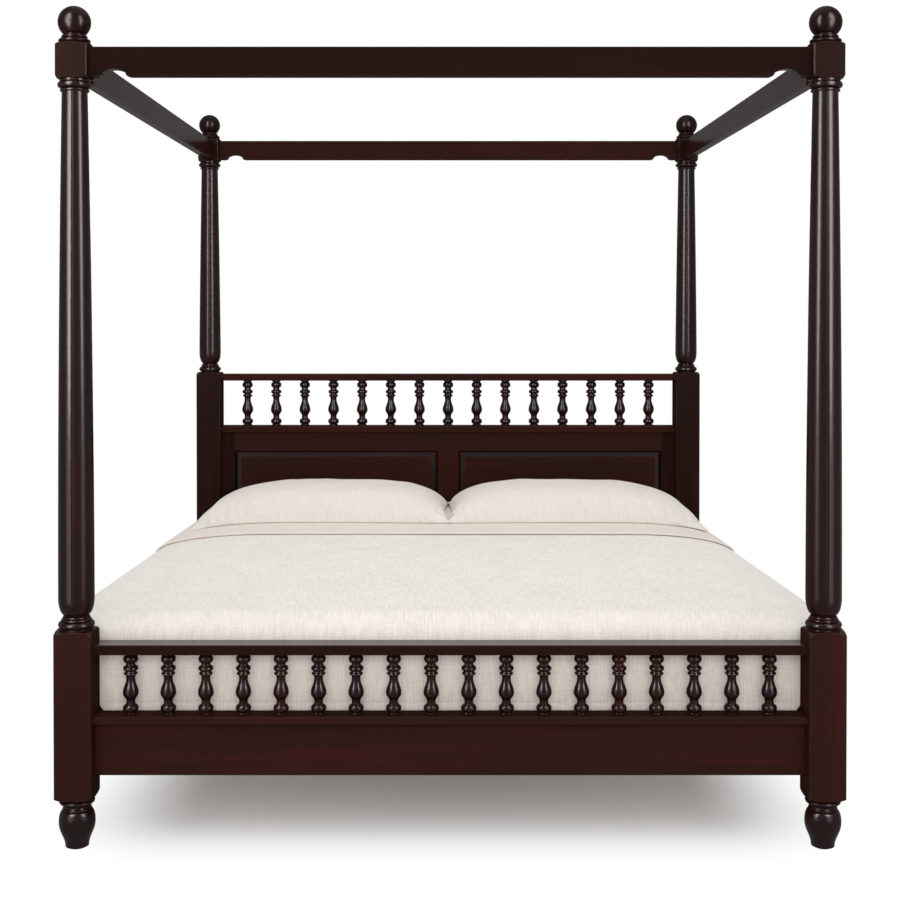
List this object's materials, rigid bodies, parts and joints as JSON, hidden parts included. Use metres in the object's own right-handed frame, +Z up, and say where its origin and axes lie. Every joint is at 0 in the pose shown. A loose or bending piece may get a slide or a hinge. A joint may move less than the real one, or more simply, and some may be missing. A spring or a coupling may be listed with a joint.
{
  "type": "canopy bed",
  "caption": "Canopy bed with turned posts, open canopy rails, spindle footboard, spindle and panel headboard, and mattress with coverlet and pillows.",
  "frame": {"origin": "on the floor under the middle of the bed", "axes": "+X to the right and +Y towards the headboard as seen from the foot, +Z up"},
  "size_m": [2.026, 2.156, 2.1681],
  "materials": {
    "stained_wood": "very dark stained hardwood, satin lacquer",
    "bare_wood": "planed softwood",
    "steel": "zinc plated",
    "plastic": "moulded",
    "coverlet_cloth": "slubby woven cotton",
    "sheet_cloth": "plain woven cotton",
    "pillow_cloth": "slubby woven cotton"
  },
  "bodies": {
    "frame": {"foot_post_base_left": "stained_wood", "foot_post_base_right": "stained_wood", "head_post_base_left": "stained_wood", "head_post_base_right": "stained_wood", "foot_post_shaft_left": "stained_wood", "foot_post_shaft_right": "stained_wood", "head_post_shaft_left": "stained_wood", "head_post_shaft_right": "stained_wood", "post_studs": "steel", "foot_glides": "plastic", "canopy_rail_foot": "stained_wood", "canopy_rail_head": "stained_wood", "canopy_rail_left": "stained_wood", "canopy_rail_right": "stained_wood", "footboard_cap_rail": "stained_wood", "footboard_shelf_rail": "stained_wood", "footboard_spindles": "stained_wood", "footboard_board": "stained_wood", "headboard_top_rail": "stained_wood", "headboard_spindles": "stained_wood", "headboard_middle_rail": "stained_wood", "headboard_frame_top": "stained_wood", "headboard_frame_bottom": "stained_wood", "headboard_stile_left": "stained_wood", "headboard_stile_right": "stained_wood", "headboard_muntin": "stained_wood", "headboard_panel_left": "stained_wood", "headboard_panel_right": "stained_wood", "headboard_stretcher": "stained_wood", "side_rail_left": "stained_wood", "side_rail_right": "stained_wood", "rail_hook_plates": "steel", "post_slot_plates": "steel", "slat_ledge_left": "stained_wood", "slat_ledge_right": "stained_wood", "slats": "bare_wood", "centre_beam": "stained_wood", "beam_hangers": "steel", "centre_legs": "stained_wood", "centre_leg_glides": "plastic"},
    "finial_foot_left": {"finial_foot_left": "stained_wood"},
    "finial_foot_right": {"finial_foot_right": "stained_wood"},
    "finial_head_left": {"finial_head_left": "stained_wood"},
    "finial_head_right": {"finial_head_right": "stained_wood"},
    "mattress": {"mattress": "sheet_cloth", "coverlet": "coverlet_cloth", "sheet_turndown": "sheet_cloth"},
    "pillow_left": {"pillow_left": "pillow_cloth"},
    "pillow_right": {"pillow_right": "pillow_cloth"}
  },
  "joints": [
    {"name": "finial_foot_left_lift", "type": "slide", "parent": "frame", "child": "finial_foot_left", "axis": [0, 0, 1], "range_m": [0, 0.045]},
    {"name": "finial_foot_right_lift", "type": "slide", "parent": "frame", "child": "finial_foot_right", "axis": [0, 0, 1], "range_m": [0, 0.045]},
    {"name": "finial_head_left_lift", "type": "slide", "parent": "frame", "child": "finial_head_left", "axis": [0, 0, 1], "range_m": [0, 0.045]},
    {"name": "finial_head_right_lift", "type": "slide", "parent": "frame", "child": "finial_head_right", "axis": [0, 0, 1], "range_m": [0, 0.045]},
    {"name": "mattress_lift", "type": "slide", "parent": "frame", "child": "mattress", "axis": [0, 0, 1], "range_m": [0, 0.3]},
    {"name": "pillow_left_lift", "type": "slide", "parent": "mattress", "child": "pillow_left", "axis": [0, 0, 1], "range_m": [0, 0.3]},
    {"name": "pillow_right_lift", "type": "slide", "parent": "mattress", "child": "pillow_right", "axis": [0, 0, 1], "range_m": [0, 0.3]}
  ]
}
